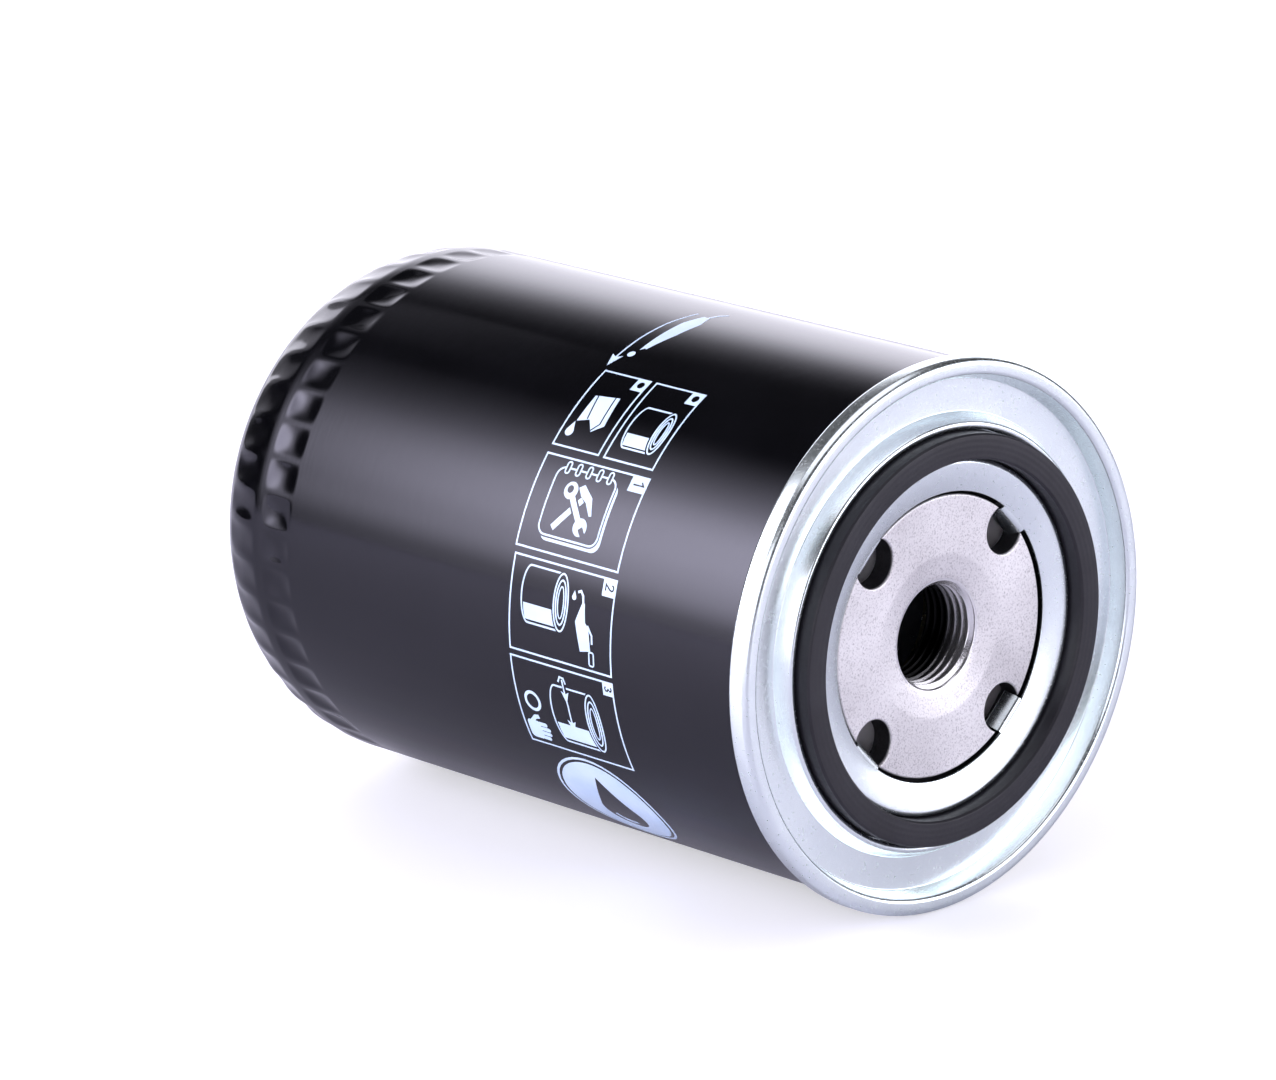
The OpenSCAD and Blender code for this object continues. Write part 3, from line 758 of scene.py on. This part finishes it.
def bore():
    """The threaded bore: rows that follow a right-handed helix, gathered at both ends of the bore."""
    length = BORE_MOUTH[1] - BORE_END[1]
    turns = math.ceil(length / THREAD_PITCH) + 2
    rows = [turn + share for turn in range(turns) for share in TURN_ROWS]
    per_turn, count = len(TURN_ROWS), len(rows)
    verts, faces = [], []
    for j in range(PLATE_COLUMNS):
        for row in rows:
            x = BORE_MOUTH[1] + THREAD_PITCH * (1 - row - j / PLATE_COLUMNS)
            open_front = BORE_MOUTH[0] - (BORE_MOUTH[1] - x) * CHAMFER_SLOPE
            open_back = BORE_END[0] - (x - BORE_END[1])
            r = max(thread_radius(row % 1), open_front, open_back)
            if x >= BORE_MOUTH[1]:
                r, x = BORE_MOUTH
            if x <= BORE_END[1]:
                r, x = BORE_END
            verts.append(round_about(r, x, TURN * j / PLATE_COLUMNS))
    for j in range(PLATE_COLUMNS):
        here, there = j * count, (j + 1) % PLATE_COLUMNS * count
        shift = per_turn if j == PLATE_COLUMNS - 1 else 0
        for i in range(count - 1 - shift):
            faces.append((here + i, here + i + 1, there + i + 1 + shift, there + i + shift))
    return verts, faces


def plate_shape():
    """The base plate without its inlet holes."""
    outline = bent_path([
        BORE_END, (11.8, BORE_END[1], 0.4), (11.8, -2.9, 1.8), (24.4, -2.9, 0.4), (26.5, -5, 0.4),
        (41.5, -5, 0.4), (41.5, -1, 0.4), (24.7, -1, 0.4), (24.4, 1.1, 0.35), (18, 1.1), (14.2, 1.1, 5),
        (10.6, 0.62, 0.9), BORE_MOUTH], 8)
    verts, faces = bore()
    first, rows = len(verts), len(outline)
    for j in range(PLATE_COLUMNS):
        verts += [round_about(r, x, TURN * j / PLATE_COLUMNS) for r, x in outline]
    for j in range(PLATE_COLUMNS):
        here, there = first + j * rows, first + (j + 1) % PLATE_COLUMNS * rows
        faces += [(here + i, here + i + 1, there + i + 1, there + i) for i in range(rows - 1)]
    return verts, faces


INLET_EDGE = 0.3                   # the radius of an inlet hole's rounded edge
INLET_EDGE_X = 0.8                 # where that edge starts, just below the disc's face


def inlet_cutter(phi):
    """A round cutter for one inlet hole, flared at the front for the hole's rounded edge."""
    edge = [(INLET_R + INLET_EDGE * (1 - math.cos(a)), INLET_EDGE_X + INLET_EDGE * math.sin(a))
            for a in (0, 0.4, 0.8, 1.2, 1.5)]
    outline = [(INLET_R, -6)] + edge + [(5.2, 2)]
    sides, rows = 64, len(outline)
    verts, faces = [], []
    cy, cz = -INLET_PITCH_R * math.cos(phi), INLET_PITCH_R * math.sin(phi)
    for k in range(sides):
        a = TURN * k / sides
        verts += [(x * MM, (cy + r * math.cos(a)) * MM, (cz + r * math.sin(a)) * MM) for r, x in outline]
    for k in range(sides):
        here, there = k * rows, (k + 1) % sides * rows
        faces += [(here + i, here + i + 1, there + i + 1, there + i) for i in range(rows - 1)]
    faces.append(tuple(k * rows for k in range(sides)))
    faces.append(tuple(k * rows + rows - 1 for k in range(sides)))
    mesh = bpy.data.meshes.new("cutter")
    mesh.from_pydata(verts, [], faces)
    bm = bmesh.new()
    bm.from_mesh(mesh)
    bmesh.ops.recalc_face_normals(bm, faces=bm.faces)
    bm.to_mesh(mesh)
    bm.free()
    cutter = bpy.data.objects.new("cutter", mesh)
    bpy.context.scene.collection.objects.link(cutter)
    return cutter


def cut_inlets(plate):
    """Cuts the four inlet holes, and keeps large flat faces evenly shaded."""
    cutters = [inlet_cutter(phi) for phi in INLET_ANGLES]
    for cutter in cutters:
        tool = plate.modifiers.new("inlet", "BOOLEAN")
        tool.operation = "DIFFERENCE"
        tool.object = cutter
        tool.solver = "EXACT"
    bpy.context.view_layer.update()
    graph = bpy.context.evaluated_depsgraph_get()
    done = bpy.data.meshes.new_from_object(plate.evaluated_get(graph))
    plate.modifiers.clear()
    plate.data = done
    shade(done, PLATE_CREASE)
    even = plate.modifiers.new("even_shading", "WEIGHTED_NORMAL")
    even.keep_sharp = True
    for cutter in cutters:
        bpy.data.objects.remove(cutter)


PLATE_CREASE = 32
base = make("threaded_plate", plate_shape(), "casing", "bare_steel", stands_for=["base_plate"],
            crease=PLATE_CREASE)
cut_inlets(base)


# ---------------------------------------------------------------- springs

CLOSED_TURNS = 0.75                # at each end of a spring
STEPS_A_TURN = 36
WIRE_SHARE = 0.995                 # keeps a wire just inside the CAD's


def coil(coil_r, wire, turns, back, front):
    """A compression spring's wire about the thread's axis, with closed turns at both ends."""
    span_x = front - back - wire
    points = []
    for i in range(round(turns * STEPS_A_TURN) + 1):
        t = i / STEPS_A_TURN
        if t < CLOSED_TURNS:
            height = t * wire
        elif t > turns - CLOSED_TURNS:
            height = span_x - (turns - t) * wire
        else:
            rise = (span_x - 2 * CLOSED_TURNS * wire) / (turns - 2 * CLOSED_TURNS)
            height = CLOSED_TURNS * wire + (t - CLOSED_TURNS) * rise
        phi = -math.pi / 2 - TURN * t
        points.append(Vector((back + wire / 2 + height, -coil_r * math.cos(phi), coil_r * math.sin(phi))))
    return tube(points, wire / 2 * WIRE_SHARE, 16)


big = make("element_coil", coil(16, 2.2, 4.5, -140.0, -117.1), "casing", "spring_steel",
           stands_for=["element_spring"])
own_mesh(big)
small = make("bypass_coil", coil(6, 0.9, 4, -113.1, -106.2), "element", "spring_steel",
             stands_for=["bypass_spring"])
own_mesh(small)


# ---------------------------------------------------------------- CAD nodes that keep their own mesh

SLOT_OF = {
    "seam_compound": "sealing_compound", "weld_spots": "weld_metal", "drain_valve": "valve_rubber",
    "top_end_cap": "cap_steel", "bottom_end_cap": "cap_steel", "pleated_paper": "filter_paper",
    "pleat_clip": "clip_steel", "centre_tube": "tube_steel", "top_adhesive": "adhesive",
    "bottom_adhesive": "adhesive", "bypass_housing": "valve_steel", "bypass_seal": "gasket_rubber",
    "bypass_poppet": "poppet_plastic", "bypass_retainer": "valve_steel", "spring_seat": "valve_steel",
}
for node, slot in SLOT_OF.items():
    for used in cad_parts[node].material_slots:
        used.material = MATERIALS[slot]


# ---------------------------------------------------------------- studio

LIGHT_TINT = (1, 0.985, 1.1, 1)


def between(stops, value):
    """A value read off a line through stops of (place, level)."""
    for (a, low), (b, high) in zip(stops, stops[1:]):
        if value <= b:
            return low + (high - low) * max(0.0, (value - a) / (b - a))
    return stops[-1][1]


def panel(name, centre, facing, width, height, level, cells=24):
    """A soft light panel unseen by the camera. Level gives its radiance at a place across and up it."""
    facing = Vector(facing).normalized()
    across = Vector((0, 0, 1)).cross(facing)
    across = across.normalized() if across.length > 0.5 else Vector((1, 0, 0))
    upward = facing.cross(across)
    places = [((i / cells - 0.5) * width, (j / cells - 0.5) * height)
              for j in range(cells + 1) for i in range(cells + 1)]
    row = cells + 1
    mesh = bpy.data.meshes.new(name)
    mesh.from_pydata([Vector(centre) + across * s + upward * t for s, t in places], [],
                     [(k, k + 1, k + 1 + row, k + row) for k in range(cells * row) if k % row < cells])
    value = mesh.attributes.new("level", "FLOAT", "POINT")
    value.data.foreach_set("value", [level(s, t) for s, t in places])
    material = bpy.data.materials.new(name)
    material.use_nodes = True
    nodes, link = material.node_tree.nodes, material.node_tree.links.new
    nodes.clear()
    glow, out = nodes.new("ShaderNodeEmission"), nodes.new("ShaderNodeOutputMaterial")
    read = nodes.new("ShaderNodeAttribute")
    read.attribute_name = "level"
    glow.inputs["Color"].default_value = LIGHT_TINT
    link(read.outputs["Fac"], glow.inputs["Strength"])
    link(glow.outputs[0], out.inputs[0])
    mesh.materials.append(material)
    light = bpy.data.objects.new(name, mesh)
    light.visible_camera = False
    light.visible_shadow = False
    bpy.context.scene.collection.objects.link(light)


FLOOR_LIFT = 0.5                   # how much brighter the camera sees the floor, as in a light tent
FLOOR_HALF = 4


def lay_floor():
    """The floor: pale paper."""
    mesh = bpy.data.meshes.new("floor")
    corners = [(x * FLOOR_HALF, y * FLOOR_HALF, FLOOR_Z) for x, y in ((-1, -1), (1, -1), (1, 1), (-1, 1))]
    mesh.from_pydata(corners, [], [(0, 1, 2, 3)])
    floor = bpy.data.objects.new("floor", mesh)
    bpy.context.scene.collection.objects.link(floor)
    paper, shader, add, link = new_material("floor_paper")
    link(two_tone(add, grain(add, 900), (0.6, 0.59, 0.68), (0.62, 0.61, 0.7)), shader.inputs["Base Color"])
    shader.inputs["Roughness"].default_value = 0.5
    shader.inputs["Emission Color"].default_value = (1, 1, 1, 1)
    seen = add("ShaderNodeLightPath").outputs["Is Camera Ray"]
    link(span(add, seen, 0, FLOOR_LIFT, (0, 1)), shader.inputs["Emission Strength"])
    mesh.materials.append(paper)


lay_floor()

# Stops of (height above the thread's axis in metres, radiance) of the two big panels.
KEY_HEIGHTS = [(0, 2.2), (0.03, 3.2), (0.12, 6.6), (0.21, 8.6), (0.33, 10.2), (0.46, 10.8), (0.57, 9.4),
               (0.69, 6.4), (0.8, 4.6), (0.97, 2.4), (1.13, 0.6), (1.25, 0.1)]
BACKDROP_HEIGHTS = [(0, 1.95), (0.12, 2.05), (0.34, 2.6), (0.46, 2.55), (0.58, 1.7), (0.69, 0.75),
                    (0.81, 0.26), (0.91, 0.1), (1.0, 0.02)]
KEY_MIDDLE = 0.6
BACKDROP_MIDDLE = 0.475


def key_level(across, up):
    """The key light: bright in the middle, and fading past an edge that leans out as it rises."""
    z = up + KEY_MIDDLE
    edge = 0.1 + 0.3 * max(0.0, z - 0.2)
    soft = 0.035 + 0.1 * max(0.0, z - 0.3)
    return between(KEY_HEIGHTS, z) / (1 + math.exp(min(50.0, (across - edge) / soft)))


def shoulder_level(across, up):
    """The light that the can's shoulder shows: fading up, down and towards the key light."""
    return 0.85 * math.cos(up * math.pi / 1.4) * (1 - math.exp(-(across + 0.25) / 0.16))


panel("key", (-0.68, -0.72, KEY_MIDDLE), (0.7, 0.72, 0), 1.3, 1.3, key_level, cells=60)
panel("backdrop", (-0.75, 0.75, BACKDROP_MIDDLE), (1, -1, 0), 1.6, 1.05,
      lambda across, up: between(BACKDROP_HEIGHTS, up + BACKDROP_MIDDLE))
panel("shoulder_light", (-1.25, 0.13, 0.55), (1, 0, 0), 0.5, 1.2, shoulder_level)
panel("overhead", (0.1, 0, 1.3), (0, 0, -1), 1.4, 1.4, lambda across, up: 1.3)
panel("front_fill", (0.55, -1.15, 0.35), (-0.4, 1, -0.1), 1.5, 0.8, lambda across, up: 2.0)
panel("right_fill", (1.1, 0.75, 0.35), (-1, -0.7, -0.1), 1.6, 0.8, lambda across, up: 3.0)


def surround():
    """The surroundings: white where the camera sees them, and dim for everything else."""
    world = bpy.data.worlds.new("studio")
    bpy.context.scene.world = world
    world.use_nodes = True
    nodes, link = world.node_tree.nodes, world.node_tree.links.new
    dim = nodes["Background"]
    dim.inputs["Color"].default_value = (0.95, 0.96, 1, 1)
    dim.inputs["Strength"].default_value = 0.03
    white = nodes.new("ShaderNodeBackground")
    white.inputs["Color"].default_value = (1, 1, 1, 1)
    white.inputs["Strength"].default_value = 1.2
    path = nodes.new("ShaderNodeLightPath")
    choose = nodes.new("ShaderNodeMixShader")
    link(path.outputs["Is Camera Ray"], choose.inputs[0])
    link(dim.outputs[0], choose.inputs[1])
    link(white.outputs[0], choose.inputs[2])
    link(choose.outputs[0], nodes["World Output"].inputs["Surface"])


surround()

CAMERA_AZIMUTH, CAMERA_ELEVATION = math.radians(46.245), math.radians(15.348)
CAMERA_DISTANCE = 1.07276
CAMERA_RIGHT, CAMERA_UP = -0.04924, 0.01585     # the camera's place off the line through its target
CAMERA_TARGET = Vector((-0.001, 0, 0))
CAMERA_LENS = 179.84


def place_camera():
    """The camera, at the photo's angle."""
    level = math.cos(CAMERA_ELEVATION)
    back = Vector((math.sin(CAMERA_AZIMUTH) * level, -math.cos(CAMERA_AZIMUTH) * level,
                   math.sin(CAMERA_ELEVATION)))
    right = Vector((math.cos(CAMERA_AZIMUTH), math.sin(CAMERA_AZIMUTH), 0))
    up = back.cross(right)
    camera = bpy.data.objects.new("camera", bpy.data.cameras.new("camera"))
    bpy.context.scene.collection.objects.link(camera)
    camera.matrix_world = Matrix((right, up, back)).transposed().to_4x4()
    camera.location = CAMERA_TARGET + back * CAMERA_DISTANCE + right * CAMERA_RIGHT + up * CAMERA_UP
    camera.data.lens = CAMERA_LENS
    camera.data.clip_end = 50
    bpy.context.scene.camera = camera


place_camera()
bpy.context.scene.view_settings.view_transform = "Standard"
